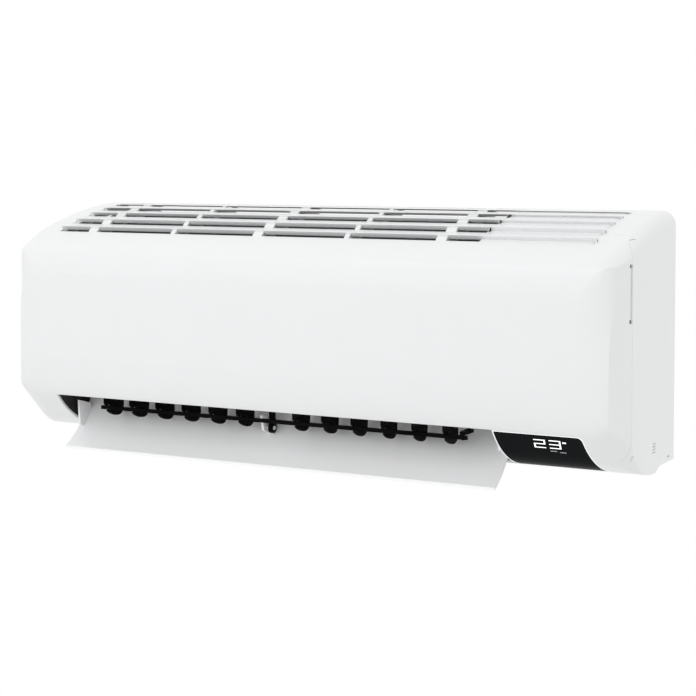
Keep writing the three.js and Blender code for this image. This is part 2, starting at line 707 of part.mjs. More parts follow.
// ---- Outlet flap ---------------------------------------------------------
function flapClosed() {
  const skin = outer.subtract(casingVolume(FLAP_THICK));
  const left = OUTLET_LEFT + FLAP_GAP;
  const right = OUTLET_RIGHT - FLAP_GAP;
  const lip = OUTLET_LIP - FLAP_GAP;
  const blade = skin.intersect(box(left, right, -DEPTH, -OUTLET_REAR - FLAP_GAP, -20, lip));
  const lugs = [left + 4, CENTRE_LUG_X, right - 4 - LUG]
    .map((x) => prism('x', FLAP_LUG, x, x + LUG));
  const pins = [rod('x', ...FLAP_PIVOT, PIN, left - FLAP_GAP - DUCT_END + 0.5, left + 5),
    rod('x', ...FLAP_PIVOT, PIN, CENTRE_LUG_X + 1, HANGER_X + HANGER + 1),
    rod('x', ...FLAP_PIVOT, PIN, right - 5, right + FLAP_GAP + DUCT_END - 0.5)];
  return union([blade, ...lugs, ...pins]);
}

// ---- Vanes and their link ------------------------------------------------
function vanePositions() {
  const positions = [];
  for (let i = 0; i <= VANES_PER_BANK * 2; i++) {
    const skipped = i === VANES_PER_BANK;
    if (!skipped) positions.push(VANE_CENTRE + (i - VANES_PER_BANK) * VANE_PITCH);
  }
  return positions;
}

function vane(x) {
  const notchRear = -BAR_DEPTH + BAR_SLOT;
  const notchTop = BAR_Z + BAR / 2 + 0.9;
  const notchLow = BAR_Z - BAR / 2 - 0.9;
  const outline = new THREE.Shape();
  outline.moveTo(-VANE_REAR, VANE_TOP);
  outline.lineTo(-VANE_PIVOT_DEPTH + 5, VANE_TOP);
  outline.lineTo(-VANE_PIVOT_DEPTH, VANE_TOP - 4);
  outline.lineTo(-VANE_PIVOT_DEPTH - 5, VANE_TOP);
  outline.lineTo(-VANE_FRONT, VANE_TOP);
  outline.lineTo(-VANE_FRONT, notchTop + 3);
  outline.lineTo(-VANE_FRONT + 3, notchTop);
  outline.lineTo(notchRear, notchTop);
  outline.lineTo(notchRear, notchLow);
  outline.quadraticCurveTo(-VANE_PIVOT_DEPTH - 6, VANE_TIP - 1, -VANE_PIVOT_DEPTH + 3, VANE_TIP);
  outline.quadraticCurveTo(-VANE_REAR - 2, VANE_TIP + 3, -VANE_REAR, VANE_TIP + 14);
  outline.closePath();
  const half = VANE_THICK / 2;
  const blade = prism('x', outline, x - half, x + half);
  const pivot = rod('z', x, -VANE_PIVOT_DEPTH, VANE_PIN, VANE_TOP - 8, VANE_TOP + 0.6 + RAIL, 8);
  const pin = rod('z', x, -BAR_DEPTH, BAR_PIN, notchLow, notchTop + 3, 6);
  return union([blade, pivot, pin]);
}

function linkBar() {
  const positions = vanePositions();
  const from = positions[0] - 9;
  const to = CRANK_X + 5;
  let bar = box(from, to, -BAR_DEPTH - BAR / 2, -BAR_DEPTH + BAR / 2, BAR_Z - BAR / 2, BAR_Z + BAR / 2);
  for (const x of [...positions, CRANK_X]) {
    bar = bar.subtract(rod('z', x, -BAR_DEPTH, BAR_PIN + 0.35, BAR_Z - BAR, BAR_Z + BAR, 8));
  }
  return bar;
}

const CRANK_POST = 2.5;
const CRANK_X = VANE_CENTRE + (VANES_PER_BANK + 0.55) * VANE_PITCH;
function driveCrank() {
  const top = BAR_Z + BAR / 2 + 0.9;
  const plan = [[CRANK_X - 3, -BAR_DEPTH - 3], [CRANK_X + 3, -BAR_DEPTH - 3],
    [CRANK_X + 4, -VANE_PIVOT_DEPTH + 4], [CRANK_X - 4, -VANE_PIVOT_DEPTH + 4]];
  const arm = prism('z', plan, top, top + 4);
  const pin = rod('z', CRANK_X, -BAR_DEPTH, BAR_PIN, BAR_Z - BAR / 2 - 0.9, top + 2, 8);
  const post = rod('z', CRANK_X, -VANE_PIVOT_DEPTH, CRANK_POST, top + 2, VANE_MOTOR_LOW + 5, 10);
  return union([arm, pin, post]);
}

function vaneRail(from, to, holes) {
  const low = VANE_TOP + 0.6;
  let rail = box(from, to, -VANE_PIVOT_DEPTH - RAIL_WIDTH / 2, -VANE_PIVOT_DEPTH + RAIL_WIDTH / 2,
    low, low + RAIL);
  for (const x of holes) {
    rail = rail.subtract(rod('z', x, -VANE_PIVOT_DEPTH, VANE_PIN + 0.35, low - 1, low + RAIL + 1, 10));
  }
  return rail;
}

// ---- Assembly ------------------------------------------------------------
const unit = new THREE.Group();
const built = new THREE.Group();
built.position.z = -HEIGHT / 2;
unit.add(built);

built.add(part('mounting_plate', mountingPlate(), 0xb9bdc0, 0.4, 0.8));
built.add(part('rear_chassis', rearChassis(), 0xe6e7e7, 0.55));
built.add(part('main_housing', mainHousing(), WHITE, 0.35));
built.add(part('front_panel', frontPanel(), WHITE, 0.3));
built.add(part('filter_frame', filterFrame(), WHITE, 0.4));
built.add(part('filter_mesh', filterMesh(), 0x6d7073, 0.8));
built.add(part('display_cover', displayCover(), 0x141516, 0.12));
built.add(part('drain_pan', drainPan(), 0xd9dbdc, 0.5));
built.add(part('fan_rotor', fanRotor(), 0x3a3c3f, 0.55));
built.add(part('fan_shaft', fanShaft(), 0xb0b3b6, 0.3, 0.9));
built.add(part('fan_bearing', fanBearing(), 0x202022, 0.7));
built.add(part('fan_motor', fanMotor(), 0xc9cccf, 0.45, 0.5));
for (const [name, spec] of Object.entries(SLABS)) {
  built.add(part(name, slab(spec), 0xbfc9d2, 0.35, 0.7));
}

built.add(part('coil_end_left', coilEnd(-1), 0xb87a4f, 0.35, 0.8));
built.add(part('coil_end_right', coilEnd(1), 0xb87a4f, 0.35, 0.8));
built.add(part('motor_bracket', motorBracket(), 0xd7d9da, 0.5));
built.add(part('gas_pipe', pipe(GAS), 0xb87333, 0.3, 0.9));
built.add(part('liquid_pipe', pipe(LIQUID), 0xb87333, 0.3, 0.9));
built.add(part('gas_flare_nut', flareNut(GAS), 0xc9a445, 0.3, 0.9));
built.add(part('liquid_flare_nut', flareNut(LIQUID), 0xc9a445, 0.3, 0.9));
built.add(part('control_box', controlBox(), 0xa9adb0, 0.4, 0.8));
built.add(part('control_lid', controlLid(), 0xa9adb0, 0.4, 0.8));
built.add(part('control_board', controlBoard(), 0x2f6b3f, 0.5));
built.add(part('terminal_block', terminalBlock(), 0x2b2b2d, 0.5));
built.add(part('flap_motor', flapMotor(), 0xc9cccf, 0.4, 0.6));
built.add(part('vane_motor', vaneMotor(), 0xc9cccf, 0.4, 0.6));
built.add(part('display_board', displayBoard(), 0x2f6b3f, 0.5));
built.add(part('room_sensor', roomSensor(), 0xe9e9e9, 0.5));
built.add(part('flap_hanger', flapHanger(), BLACK, 0.45));

const flapTurn = new THREE.Group();
flapTurn.position.set(0, ...FLAP_PIVOT);
flapTurn.rotation.x = THREE.MathUtils.degToRad(FLAP_OPEN);
const flap = part('flap', flapClosed(), 0xeceded, 0.35);
flap.position.set(0, -FLAP_PIVOT[0], -FLAP_PIVOT[1]);
flapTurn.add(flap);
built.add(flapTurn);

vanePositions().forEach((x, i) => built.add(part(`vane_${i + 1}`, vane(x), BLACK, 0.35)));
built.add(part('link_bar', linkBar(), BLACK, 0.35));
built.add(part('drive_crank', driveCrank(), BLACK, 0.4));
const xs = vanePositions();
built.add(part('vane_rail_left', vaneRail(xs[0] - 12, xs[5] + 12, xs.slice(0, 6)), BLACK, 0.45));
built.add(part('vane_rail_right', vaneRail(xs[6] - 12, CRANK_X - VANE_MOTOR_RADIUS - 1, xs.slice(6)), BLACK, 0.45));

export default unit;
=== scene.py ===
"""Looks of the wall-hung mini split indoor unit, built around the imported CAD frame."""
import json
import math

import bmesh
import bpy
from mathutils import Matrix, Vector


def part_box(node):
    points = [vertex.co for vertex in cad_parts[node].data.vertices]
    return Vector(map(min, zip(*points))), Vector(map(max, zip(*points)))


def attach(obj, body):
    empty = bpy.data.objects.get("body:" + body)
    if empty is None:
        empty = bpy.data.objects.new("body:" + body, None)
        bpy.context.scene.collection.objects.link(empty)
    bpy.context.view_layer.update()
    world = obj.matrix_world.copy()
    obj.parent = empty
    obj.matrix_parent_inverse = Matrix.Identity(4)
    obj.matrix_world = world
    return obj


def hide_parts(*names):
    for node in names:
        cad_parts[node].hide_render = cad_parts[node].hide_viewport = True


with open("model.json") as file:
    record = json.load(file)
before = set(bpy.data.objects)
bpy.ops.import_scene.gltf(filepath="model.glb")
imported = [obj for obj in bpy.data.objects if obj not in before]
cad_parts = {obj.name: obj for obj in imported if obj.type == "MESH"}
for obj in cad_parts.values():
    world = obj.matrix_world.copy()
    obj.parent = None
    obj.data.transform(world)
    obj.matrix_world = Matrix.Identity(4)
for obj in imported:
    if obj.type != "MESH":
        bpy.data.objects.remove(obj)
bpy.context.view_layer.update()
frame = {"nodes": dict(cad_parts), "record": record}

# ---- Sizes -----------------------------------------------------------------
# Lengths are in millimetres, measured as in the CAD source: X along the unit,
# Y negative towards the room (a "depth" is -Y), Z up from the lowest line.
MM = 0.001
shell_low, shell_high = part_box("main_housing")
WIDTH = (shell_high.x - shell_low.x) / MM
HEIGHT = (shell_high.z - shell_low.z) / MM
DEPTH = -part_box("front_panel")[0].y / MM
BASE = shell_low.z
HALF = WIDTH / 2

WALL = 2.5                   # moulded casing wall
SEAM = 0.5                   # gap between two mouldings
FIT = 0.3                    # clearance where pieces seat on each other
OVERLAP = 1                  # how far joined solids run into each other
BEYOND = 20                  # how far a cutting solid reaches past the casing
CLOSE = 0.01                 # points as near as this lie on the same plane

TOP_FALL = 33.5              # how far the top drops by the panel seam
TOP_POWER = 1.67             # how steeply it falls off towards the seam
SEAM_DEPTH = DEPTH - 51.6    # side seam between panel and housing
SEAM_RADIUS = 26             # the seam's curl over the top corner
SEAM_CURL = HEIGHT - 53.7    # height at which the curl starts
SEAM_STEPS = 16
PANEL_REAR = DEPTH - 80.6    # depth of the panel's rear edge on top
CORNER_RADIUS = 17           # rounding between top and sides
CORNER_SPARE = 3             # from that rounding to where the panel is at full depth
CURL_SUNK = 5                # the full depth starts this far below the curl
RISER_DEPTH = DEPTH - 158    # from here to the wall the underside lies higher
RISER = 4.5
RISER_EDGE = RISER + 1       # and a little more at its front edge
NOSE_HEIGHT = 142            # height of the foremost line

OUTLET_LEFT = -HALF + 68
OUTLET_RIGHT = HALF - 150
OUTLET_LIP = 57              # height of the panel's lower edge
OUTLET_REAR = DEPTH - 98.5   # depth at which the outlet ends behind
VANE_CENTRE = (OUTLET_LEFT + OUTLET_RIGHT) / 2 - 4  # middle of the two banks

GRILLE_LEFT = -HALF + 43.7
GRILLE_OPEN_RIGHT = HALF - 182.5
GRILLE_RIGHT = HALF - 44.4
GRILLE_FRONT = PANEL_REAR - SEAM  # front edge of what lies behind the panel


# ---- Solids ----------------------------------------------------------------
def place(corner):
    """A corner in millimetres above the lowest line, as metres in the shared frame."""
    x, y, z = corner
    return (x * MM, y * MM, BASE + z * MM)


def solid(corners, faces, name="tool"):
    """A closed mesh from corners in millimetres, its faces turned outwards."""
    mesh = bpy.data.meshes.new(name)
    mesh.from_pydata([place(corner) for corner in corners], [], faces)
    edit = bmesh.new()
    edit.from_mesh(mesh)
    bmesh.ops.recalc_face_normals(edit, faces=edit.faces)
    edit.to_mesh(mesh)
    edit.free()
    piece = bpy.data.objects.new(name, mesh)
    bpy.context.scene.collection.objects.link(piece)
    return piece


def on_axis(axis, u, v, w):
    """A point at w along an axis, and at u, v across it in the order of the others."""
    return {"x": (w, u, v), "y": (u, w, v), "z": (u, v, w)}[axis]


def loft(rings, name="tool", axis="x"):
    """Rings of (place on the axis, outline) joined into one closed solid."""
    count = len(rings[0][1])
    corners = [on_axis(axis, u, v, w) for w, outline in rings for u, v in outline]
    faces = [tuple(range(count)), tuple(range(len(corners) - count, len(corners)))]
    for ring in range(len(rings) - 1):
        for i in range(count):
            a = ring * count + i
            b = ring * count + (i + 1) % count
            faces.append((a, a + count, b + count, b))
    return solid(corners, faces, name)


def prism(axis, outline, low, high, name="tool"):
    """An outline run along an axis: 'x' takes (y, z), 'y' (x, z), 'z' (x, y)."""
    count = len(outline)
    corners = [on_axis(axis, u, v, w) for w in (low, high) for u, v in outline]
    faces = [tuple(range(count)), tuple(range(count, 2 * count))]
    for i in range(count):
        j = (i + 1) % count
        faces.append((i, i + count, j + count, j))
    return solid(corners, faces, name)


def rectangle(u0, u1, v0, v1):
    return [(u0, v0), (u1, v0), (u1, v1), (u0, v1)]


def block(x0, x1, y0, y1, z0, z1, name="tool"):
    return prism("z", rectangle(x0, x1, y0, y1), z0, z1, name)


def rod(axis, u, v, radius, low, high, sides):
    turn = [2 * math.pi * i / sides for i in range(sides)]
    outline = [(u + radius * math.cos(a), v + radius * math.sin(a)) for a in turn]
    return prism(axis, outline, low, high)


def combine(base, tool, operation):
    """The base after a Boolean with the tool, which is used up."""
    modifier = base.modifiers.new("combine", "BOOLEAN")
    modifier.operation = operation
    modifier.solver = "MANIFOLD"
    modifier.object = tool
    depsgraph = bpy.context.evaluated_depsgraph_get()
    mesh = bpy.data.meshes.new_from_object(base.evaluated_get(depsgraph))
    old = base.data
    base.modifiers.clear()
    base.data = mesh
    bpy.data.meshes.remove(old)
    spare = tool.data
    bpy.data.objects.remove(tool)
    bpy.data.meshes.remove(spare)
    return base


def cut(base, tool):
    return combine(base, tool, "DIFFERENCE")


def keep(base, tool):
    return combine(base, tool, "INTERSECT")


def join(base, tool):
    return combine(base, tool, "UNION")


def copy(piece):
    """A second piece with a mesh of its own."""
    twin = bpy.data.objects.new(piece.name, piece.data.copy())
    bpy.context.scene.collection.objects.link(twin)
    return twin


# ---- Curves ----------------------------------------------------------------
def quadratic(points, steps):
    """Points along a quadratic curve, with both ends."""
    a, b, c = (Vector(point) for point in points)
    found = []
    for i in range(steps + 1):
        t = i / steps
        found.append(a * (1 - t) ** 2 + b * (2 * t * (1 - t)) + c * t * t)
    return [(p.x, p.y) for p in found]


def cubic(points, steps):
    """Points along a cubic curve, without the last."""
    a, b, c, d = (Vector(point) for point in points)
    found = []
    for i in range(steps):
        t = i / steps
        s = 1 - t
        found.append(a * s**3 + b * (3 * s * s * t) + c * (3 * s * t * t) + d * t**3)
    return [(p.x, p.y) for p in found]


def smoothstep(value, low, high):
    t = min(max((value - low) / (high - low), 0), 1)
    return t * t * (3 - 2 * t)


def blend(ends, share):
    return ends[0] + (ends[1] - ends[0]) * share


def inset(points, distance):
    """The outline with each side moved inwards; its inside lies right of its run."""
    count = len(points)
    lines = []
    for i in range(count):
        p, q = points[i], points[(i + 1) % count]
        along = (q[0] - p[0], q[1] - p[1])
        length = math.hypot(*along)
        normal = (along[1] / length, -along[0] / length)
        lines.append(((p[0] + normal[0] * distance, p[1] + normal[1] * distance), along))
    found = []
    for i in range(count):
        (ax, ay), (au, av) = lines[i - 1]
        (bx, by), (bu, bv) = lines[i]
        cross = au * bv - av * bu
        share = ((bx - ax) * bv - (by - ay) * bu) / cross
        found.append((ax + au * share, ay + av * share))
    return found


# ---- Casing ----------------------------------------------------------------
def top_height(y):
    """Height of the plain top at y, or at a depth."""
    return HEIGHT - TOP_FALL * (abs(y) / SEAM_DEPTH) ** TOP_POWER


# The front's outline is three cubic curves of (depth, height), from the underside up.
SHOULDER_DEPTH = DEPTH - 30.8
LIP = (DEPTH - 11.7, OUTLET_LIP + 0.5)
NOSE_LINE = (DEPTH, NOSE_HEIGHT)
HEEL = [(RISER_DEPTH + 16, 0), (RISER_DEPTH + 33.3, 0), (DEPTH - 52.5, 3.2), LIP]
UNDER_FRONT = [LIP, (DEPTH - 1.1, 71.7), (DEPTH, 123), NOSE_LINE]
SHOULDER = [NOSE_LINE, (DEPTH, HEIGHT - 54), (DEPTH + 1.8, HEIGHT - 53),
            (SHOULDER_DEPTH, top_height(SHOULDER_DEPTH))]
CURVE_STEPS = [(HEEL, 40), (UNDER_FRONT, 14), (SHOULDER, 40)]
TOP_STEPS = 40


def casing_outline():
    """The casing's section as (y, z): out along the underside, up, back over the top."""
    front = [point for points, steps in CURVE_STEPS for point in cubic(points, steps)]
    depths = [SHOULDER_DEPTH * (1 - i / TOP_STEPS) for i in range(TOP_STEPS + 1)]
    return ([(0, RISER), (-RISER_DEPTH, RISER_EDGE)] + [(-depth, z) for depth, z in front]
            + [(-depth, top_height(depth)) for depth in depths])


# Distances of the end rings from the side face; the corners round between them.
END_RINGS = [0, 0.15, 0.5, 1.1, 2, 3.2, 4.8, 6.8, 9.2, 12, 15.2, 18.8, 22.6, 26.4, 30, 35,
             40]
# Radius of the corners at the casing's ends, the depths between which it goes from
# the first value to the second, and the heights over which the rounding fades.
TOP_CORNER = (17, 30)
TOP_DEPTHS = (150, 200)
TOP_HEIGHTS = (NOSE_HEIGHT - 22, SEAM_CURL)
LOW_CORNER = (0, 38)
LOW_DEPTHS = (112, 192)
LOW_HEIGHTS = (40, NOSE_HEIGHT - 10)


def corner_drop(radius, away):
    """How far a rounded corner stands below the full height at a distance."""
    if away >= radius:
        return 0
    return radius - math.sqrt(radius**2 - (radius - away) ** 2)


def rounded(y, z, skin, away):
    """The height of an outline point at a distance from the casing's end."""
    top = blend(TOP_CORNER, smoothstep(-y, *TOP_DEPTHS)) - skin
    low = blend(LOW_CORNER, smoothstep(-y, *LOW_DEPTHS)) - skin
    down = corner_drop(top, away) * smoothstep(z, *TOP_HEIGHTS)
    up = corner_drop(max(low, 0), away) * (1 - smoothstep(z, *LOW_HEIGHTS))
    return z - down + up


# The slanted front corner seen from above: points at distances from the side face
# and from the front, and how far each one moves where the corner is soft.
BEVEL_WIDTH = 12.5
CREASE = 8.5                 # the crisp edge lies this far behind the front
BEVEL_BEND = [((BEVEL_WIDTH, CREASE), (5, 11)), ((BEVEL_WIDTH * 2.2, 1.6), (12, -1)),
              ((BEVEL_WIDTH * 4, 0), (0, 0))]
BEVEL_END = BEVEL_WIDTH * 4.5  # from the side face to where the corner has ended
BEVEL_STEPS = 12
FRONT_CLEAR = 5              # between the corners the plan stays off the front
# Height, and how soft the corner is there: 0 has a crease, 1 has none.
CREASE_FADE = [(-BEYOND, 0), (150, 0), (163, 0.12), (176, 0.32), (190, 0.58), (204, 0.8),
               (222, 1), (HEIGHT + BEYOND, 1)]


def plan_outline(skin, soft):
    """The casing seen from above, shrunk by the skin at its ends and front."""
    side = HALF - skin
    front = -DEPTH + skin
    bend = [(side - x + u * soft, front + y + v * soft) for (x, y), (u, v) in BEVEL_BEND]
    right = [(side, BEYOND), (side, -SEAM_DEPTH)] + quadratic(bend, BEVEL_STEPS)
    right.append((side - BEVEL_END, front - FRONT_CLEAR))
    return right + [(-x, y) for x, y in reversed(right)]


def casing(skin):
    """The casing's volume shrunk by the skin; shrunk, it runs out through the rear."""
    outline = casing_outline()
    if skin:
        outline = [(BEYOND if y > -skin - CLOSE else y, z) for y, z in inset(outline, skin)]
    side = HALF - skin

    def section(away):
        return [(y, rounded(y, z, skin, away)) for y, z in outline]

    rings = [(-(side - away), section(away)) for away in END_RINGS]
    rings += [(side - away, section(away)) for away in reversed(END_RINGS)]
    plan = loft([(z, plan_outline(skin, soft)) for z, soft in CREASE_FADE], axis="z")
    return keep(loft(rings), plan)


def front_region(grow):
    """Everything in front of the side seam and the panel's rear edge, grown by a gap."""
    y, z = -SEAM_DEPTH + SEAM_RADIUS, SEAM_CURL
    radius = SEAM_RADIUS - grow
    front = -DEPTH - BEYOND
    rear = -PANEL_REAR + grow
    points = [(front, -BEYOND), (-SEAM_DEPTH + grow, -BEYOND)]
    for i in range(SEAM_STEPS + 1):
        a = math.pi - i / SEAM_STEPS * math.pi / 2
        points.append((y + radius * math.cos(a), z + radius * math.sin(a)))
    points += [(rear, z + radius), (rear, HEIGHT + BEYOND), (front, HEIGHT + BEYOND)]
    inner = HALF - CORNER_RADIUS - CORNER_SPARE + grow
    return join(prism("x", points, -WIDTH, WIDTH),
                block(-inner, inner, front, rear, SEAM_CURL - CURL_SUNK, HEIGHT + BEYOND))


DISPLAY_RIGHT = HALF - 43.5
DISPLAY_FLARE = 4.5          # the display widens towards its lower edge
DISPLAY_CORNER = 6
DISPLAY_CORNER_STEPS = 8


def outlet_region(grow):
    """The outlet and the display, drawn from the front and run back through the casing."""
    left = OUTLET_LEFT - grow
    right = DISPLAY_RIGHT + grow
    top = OUTLET_LIP + grow
    slant = DISPLAY_FLARE / OUTLET_LIP * DISPLAY_CORNER
    bend = [(right + slant, top - DISPLAY_CORNER), (right, top), (right - DISPLAY_CORNER, top)]
    points = [(left, -BEYOND), (right + DISPLAY_FLARE * (top + BEYOND) / OUTLET_LIP, -BEYOND)]
    points += quadratic(bend, DISPLAY_CORNER_STEPS)
    points.append((left, top))
    return prism("y", points, -DEPTH - BEYOND, -OUTLET_REAR + grow)


# ---- Louvred top -----------------------------------------------------------
# Slot k opens in front of step k. Marks on a step's nose are given as a distance
# behind its foremost point and a share of its rise.
ROWS = 6
ROW_FIRST = SEAM_DEPTH - 0.7  # depth of the front edge of the first slot
ROW_LAST = 12                # and of the last
SLOT = 5                     # open width of a slot
NOSE_RISE = 0.83             # a crest's share of the way up to the next row
NOSE_MARKS = [(1.2, 0.2), (0, 0.5), (1, 0.8), (5, 1)]
NOSE_BEND = [(0.5, 0.84), (0, 0.92), (0.3, 0.99)]
NOSE_STEPS = 8
FOOT_BACK = 2.6              # the foot lies this far behind its mark
FOOT_SHARE = 0.24            # and this share of the rise up, at least FOOT_LEAST
FOOT_LEAST = 1.3
SLAT = 2                     # thickness of a slat
# A slat's underside turns behind and below its crest and its brow, and behind its foot.
UNDER_CREST = (0.5, SLAT)
UNDER_BROW = (SLAT + 1.2, 1)
UNDER_FOOT = SLAT + 2
TAPER = 9                    # length over which the steps fade at an end
TAPER_STEPS = 8
TAPER_SINK = 0.1             # faded steps end this far under the plain top


def row_depth(k):
    return PANEL_REAR if k == 1 else ROW_FIRST - k * (ROW_FIRST - ROW_LAST) / (ROWS - 1)


def nose_marks(k):
    """The foot, front, brow and crest of step k."""
    y = -row_depth(k) + SLOT
    z = top_height(row_depth(k))
    rise = NOSE_RISE * (top_height(row_depth(k + 1)) - z)
    return [(y + behind, z + rise * share) for behind, share in NOSE_MARKS]


def step_nose(k):
    """The rounded nose of step k, which leans forward over its foot."""
    foot, front, _, crest = nose_marks(k)
    base = top_height(row_depth(k))
    rise = crest[1] - base
    low = (foot[0] + FOOT_BACK, base + max(rise * FOOT_SHARE, FOOT_LEAST))
    bend = [(front[0] + behind, base + rise * share) for behind, share in NOSE_BEND]
    return [low] + cubic(bend + [crest], NOSE_STEPS) + [crest]


def step_lift(y):
    """How far the steps stand above the plain top at y."""
    k = 0
    while k < ROWS - 1 and -y < row_depth(k + 1):
        k += 1
    if k == ROWS - 1:
        return 0
    foot, _, _, crest = nose_marks(k)
    if y < foot[0]:
        return 0
    if y < crest[0]:
        return crest[1] - top_height(crest[0])
    rear = -row_depth(k + 1)
    share = (y - crest[0]) / (rear - crest[0] or 1)
    return crest[1] + (top_height(rear) - crest[1]) * share - top_height(y)


def slat_section(k):
    """Step k as a slat: its nose, its upper face and the underside that follows them."""
    rear = -row_depth(k + 1)
    high = top_height(rear)
    foot, _, brow, crest = nose_marks(k)
    under = [(rear, high - SLAT), (crest[0] + UNDER_CREST[0], crest[1] - UNDER_CREST[1]),
             (brow[0] + UNDER_BROW[0], brow[1] - UNDER_BROW[1]),
             (foot[0] + UNDER_FOOT, foot[1])]
    return step_nose(k) + [(rear, high)] + under


FOOT_STRIP = 0.6             # the closed slot's floor runs this far under the nose
UNDER_STEPS = 12


def closed_section(first, last, ahead, behind):
    """The closed steps from row to row as one skin, run on ahead and behind."""
    over = []
    for k in range(first, last):
        nose = step_nose(k)
        y = -row_depth(k) - (ahead if k == first else 0)
        foot = nose[0][0]
        over += [(y, top_height(y)), (foot + FOOT_STRIP, top_height(foot))] + nose
    rear = -row_depth(last) + behind
    over.append((rear, top_height(rear)))
    under = []
    for i in range(UNDER_STEPS + 1):
        y = rear + (over[0][0] - rear) * i / UNDER_STEPS
        under.append((y, top_height(y) - WALL))
    return over + under


def faded_prism(section, low, high, faded_end):
    """A section run along X that fades into the plain top at its 'left' or 'right'."""
    def faded(share):
        return [(y, z - (step_lift(y) + TAPER_SINK) * (1 - share)) for y, z in section]

    shares = [i / TAPER_STEPS for i in range(TAPER_STEPS + 1)]
    if faded_end == "left":
        rings = [(low + TAPER * share, faded(smoothstep(share, 0, 1)))
                 for share in shares[:-1]]
        rings += [(low + TAPER, section), (high, section)]
    else:
        rings = [(low, section), (high - TAPER, section)]
        rings += [(high - TAPER * (1 - share), faded(1 - smoothstep(share, 0, 1)))
                  for share in shares[1:]]
    return loft(rings)


RIBS = 5
RIB_FIRST = GRILLE_LEFT + 52.1
RIB_PITCH = (GRILLE_OPEN_RIGHT - GRILLE_LEFT) * 0.2078
RIB_WIDE = 13                # wide and narrow ribs take turns
RIB_NARROW = 6.3
RIB_DEPTH = 8
RIB_SINK = 3.4               # how far the ribs lie under the plain top
RIB_STEPS = 20
RIB_STOP = 1                 # ribs end this far in front of a rear edge
WEDGE_DEPTH = 3              # how far a rib's wedge reaches down into it
LAST_RISE = 0.4              # rise of a rib in the last slot, which has no step
RAIL = 4.6                   # width of the cartridge's side rails
RAIL_SINK = SLAT - 0.4       # the rails run a little into the slats
FRAME_GAP = 0.2              # between the cartridge and the closed steps
FRAME_REAR = row_depth(ROWS - 1) + RIB_STOP


def rib_spans():
    """Where each rib starts and ends along X."""
    spans = []
    for i in range(RIBS):
        x = RIB_FIRST + i * RIB_PITCH
        half = (RIB_NARROW if i % 2 else RIB_WIDE) / 2
        spans.append((x - half, x + half))
    return spans


def rib_section(first, last, sink):
    """A band from depth to depth that follows the plain top, sunk under it."""
    depths = [first + (last - first) * i / RIB_STEPS for i in range(RIB_STEPS + 1)]
    upper = [(-depth, top_height(depth) - sink) for depth in depths]
    return upper + [(y, z - RIB_DEPTH) for y, z in reversed(upper)]


def rib_wedge(k):
    """The part of a rib that shows in slot k."""
    y = -row_depth(k) + (SEAM if k == 1 else 0)
    z = top_height(row_depth(k))
    deep = z - RIB_SINK - WEDGE_DEPTH
    if k < ROWS - 1:
        brow = nose_marks(k)[2]
        end = (brow[0] + OVERLAP, brow[1])
    else:
        end = (-ROW_LAST + SLOT - SEAM, z + LAST_RISE)
    return [(y, z), (y, deep), (end[0], deep), end]


def filter_frame():
    """The cartridge: two side rails, the slats and the ribs under them."""
    left = GRILLE_LEFT + FIT
    right = GRILLE_OPEN_RIGHT - FRAME_GAP
    rail = rib_section(GRILLE_FRONT, FRAME_REAR, RAIL_SINK)
    rib = rib_section(GRILLE_FRONT, FRAME_REAR, RIB_SINK)
    piece = prism("x", rail, left, left + RAIL, "filter_frame_shell")
    join(piece, prism("x", rail, right - RAIL, right))
    for k in range(1, ROWS - 1):
        join(piece, faded_prism(slat_section(k), left, right, "left"))
    for low, high in rib_spans():
        join(piece, prism("x", rib, low, high))
        for k in range(1, ROWS):
            join(piece, prism("x", rib_wedge(k), low, high))
    return piece


# ---- Panel and housing -----------------------------------------------------
FINGER_LOW = HEIGHT - 119
FINGER_HIGH = HEIGHT - 54
FINGER_DEPTH = 6             # width of the groove in front of the seam
FINGER_SINK = 2              # how deep it goes into the side
FINGER_END = 4               # length of the open ends
FINGER_END_DEPTH = FINGER_DEPTH * 0.4


def finger_slot(side):
    """A shallow groove along the side seam, open through the wall at both ends."""
    rear = -SEAM_DEPTH + OVERLAP
    outer = sorted((side * (HALF - WALL * 3), side * (HALF + OVERLAP)))
    groove = block(*outer, -SEAM_DEPTH - FINGER_DEPTH, rear, FINGER_LOW, FINGER_HIGH)
    cut(groove, casing(FINGER_SINK))
    for low, high in ((FINGER_LOW, FINGER_LOW + FINGER_END),
                      (FINGER_HIGH - FINGER_END, FINGER_HIGH)):
        join(groove, block(*outer, -SEAM_DEPTH - FINGER_END_DEPTH, rear, low, high))
    return groove


def top_cut(left, right, front, rear):
    return block(left, right, -front, -rear, HEIGHT - TOP_FALL - BEYOND, HEIGHT + BEYOND)


def front_panel(shell):
    """The one-piece front, with the first slot and the step behind it."""
    piece = keep(shell, front_region(0))
    piece.name = "panel_shell"
    cut(piece, outlet_region(SEAM))
    cut(piece, top_cut(GRILLE_LEFT, GRILLE_RIGHT, ROW_FIRST, GRILLE_FRONT))
    for side in (-1, 1):
        cut(piece, finger_slot(side))
    join(piece, faded_prism(slat_section(0), GRILLE_LEFT - OVERLAP,
                            GRILLE_OPEN_RIGHT + OVERLAP, "left"))
    join(piece, faded_prism(closed_section(0, 1, OVERLAP, 0), GRILLE_OPEN_RIGHT,
                            GRILLE_RIGHT + OVERLAP, "right"))
    rib = rib_section(ROW_FIRST + 2 * OVERLAP, PANEL_REAR + RIB_STOP, RAIL_SINK)
    for low, high in rib_spans():
        join(piece, prism("x", rib, low, high))
        join(piece, prism("x", rib_wedge(0), low, high))
    return piece


